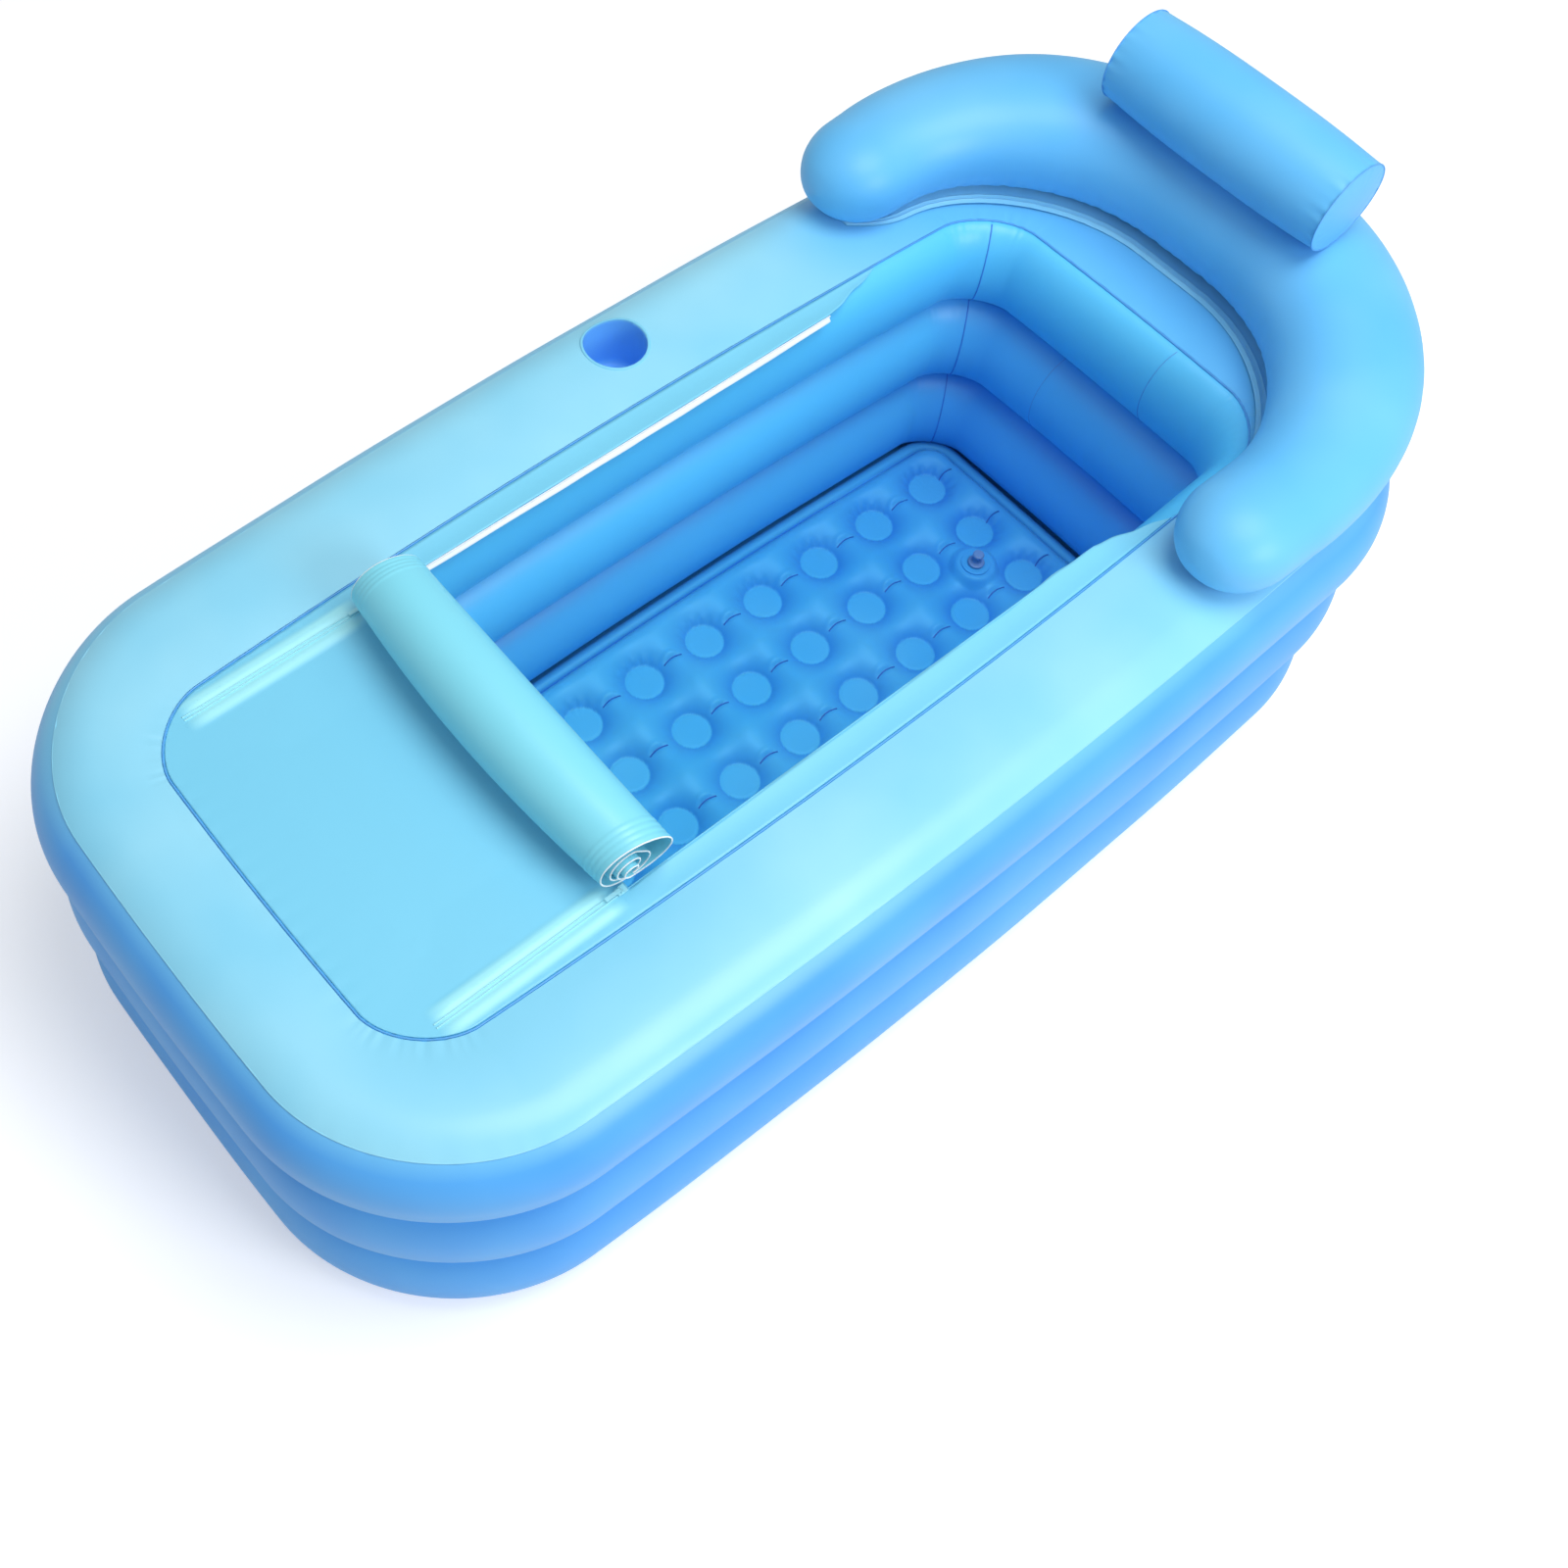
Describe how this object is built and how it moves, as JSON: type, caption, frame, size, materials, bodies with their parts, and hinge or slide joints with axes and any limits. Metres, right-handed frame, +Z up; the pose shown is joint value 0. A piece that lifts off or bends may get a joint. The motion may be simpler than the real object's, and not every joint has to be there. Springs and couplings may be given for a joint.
{
  "type": "inflatable bathtub",
  "caption": "Inflatable bathtub of stacked air rings with a zipped roll-up cover, quilted floor, cup holder, horseshoe backrest and round pillow.",
  "frame": {"origin": "On the floor, under the middle of the rings.", "axes": "+X to the head end with the backrest, +Y to the side with the cup holder, +Z up."},
  "size_m": [1.6537, 0.84, 0.6894],
  "materials": {
    "ring_pvc": "inflated sky-blue PVC film, satin gloss",
    "deck_pvc": "light cyan PVC film, satin gloss",
    "cover_pvc": "light cyan PVC sheet, satin gloss",
    "rolled_cover_pvc": "rolled cyan PVC sheet",
    "floor_pvc": "quilted blue PVC film, gloss",
    "cup_pvc": "dark blue PVC",
    "weld_line": "heat-welded seam",
    "zip_coil": "white nylon coil zip",
    "drain_plastic": "grey-blue moulded plastic",
    "clear_valve": "clear soft PVC moulding"
  },
  "bodies": {
    "tub": {"base_sheet": "ring_pvc", "ring_lower": "ring_pvc", "ring_middle": "ring_pvc", "ring_upper": "ring_pvc", "deck_skin": "deck_pvc", "outer_seam_bead": "weld_line", "inner_seam_bead": "weld_line", "outer_weld_lower": "weld_line", "outer_weld_upper": "weld_line", "inner_weld_lower": "weld_line", "inner_weld_upper": "weld_line", "floor_cushion": "floor_pvc", "drain_body": "drain_plastic", "cover_sheet": "cover_pvc", "cover_roll": "rolled_cover_pvc", "zip_far_fixed": "zip_coil", "zip_near_fixed": "zip_coil", "zip_far_cover": "zip_coil", "zip_near_cover": "zip_coil", "backrest": "ring_pvc", "backrest_hem": "weld_line", "pillow": "ring_pvc", "pillow_seam_far": "weld_line", "pillow_seam_near": "weld_line", "cup_holder": "cup_pvc", "ring_lower_valve": "clear_valve", "ring_middle_valve": "clear_valve", "ring_upper_valve": "clear_valve", "floor_valve": "clear_valve", "backrest_valve": "clear_valve", "pillow_valve": "clear_valve"},
    "drain_plug": {"drain_plug": "drain_plastic"},
    "ring_lower_stopper": {"ring_lower_stopper": "clear_valve"},
    "ring_middle_stopper": {"ring_middle_stopper": "clear_valve"},
    "ring_upper_stopper": {"ring_upper_stopper": "clear_valve"},
    "backrest_stopper": {"backrest_stopper": "clear_valve"},
    "pillow_stopper": {"pillow_stopper": "clear_valve"},
    "floor_stopper": {"floor_stopper": "clear_valve"},
    "slider_far": {"slider_far": "zip_coil"},
    "pull_far": {"pull_far": "zip_coil"},
    "slider_near": {"slider_near": "zip_coil"},
    "pull_near": {"pull_near": "zip_coil"}
  },
  "joints": [
    {"name": "drain_plug_pull", "type": "slide", "parent": "tub", "child": "drain_plug", "axis": [0, 0, 1], "range_m": [0, 0.03]},
    {"name": "ring_lower_stopper_pull", "type": "slide", "parent": "tub", "child": "ring_lower_stopper", "axis": [1, 0, 0], "range_m": [0, 0.012]},
    {"name": "ring_middle_stopper_pull", "type": "slide", "parent": "tub", "child": "ring_middle_stopper", "axis": [1, 0, 0], "range_m": [0, 0.012]},
    {"name": "ring_upper_stopper_pull", "type": "slide", "parent": "tub", "child": "ring_upper_stopper", "axis": [1, 0, 0], "range_m": [0, 0.012]},
    {"name": "backrest_stopper_pull", "type": "slide", "parent": "tub", "child": "backrest_stopper", "axis": [1, 0, 0], "range_m": [0, 0.012]},
    {"name": "pillow_stopper_pull", "type": "slide", "parent": "tub", "child": "pillow_stopper", "axis": [1, 0, 0], "range_m": [0, 0.012]},
    {"name": "floor_stopper_pull", "type": "slide", "parent": "tub", "child": "floor_stopper", "axis": [0, 0, 1], "range_m": [0, 0.012]},
    {"name": "slider_far_travel", "type": "slide", "parent": "tub", "child": "slider_far", "axis": [1, 0, 0], "range_m": [-0.2, 0]},
    {"name": "pull_far_flip", "type": "hinge", "parent": "slider_far", "child": "pull_far", "pos_m": [-0.381, 0.2145, 0.4319], "axis": [0, 1, 0], "range_deg": [0, 165]},
    {"name": "slider_near_travel", "type": "slide", "parent": "tub", "child": "slider_near", "axis": [1, 0, 0], "range_m": [-0.2, 0]},
    {"name": "pull_near_flip", "type": "hinge", "parent": "slider_near", "child": "pull_near", "pos_m": [-0.381, -0.2145, 0.4319], "axis": [0, 1, 0], "range_deg": [0, 165]}
  ]
}
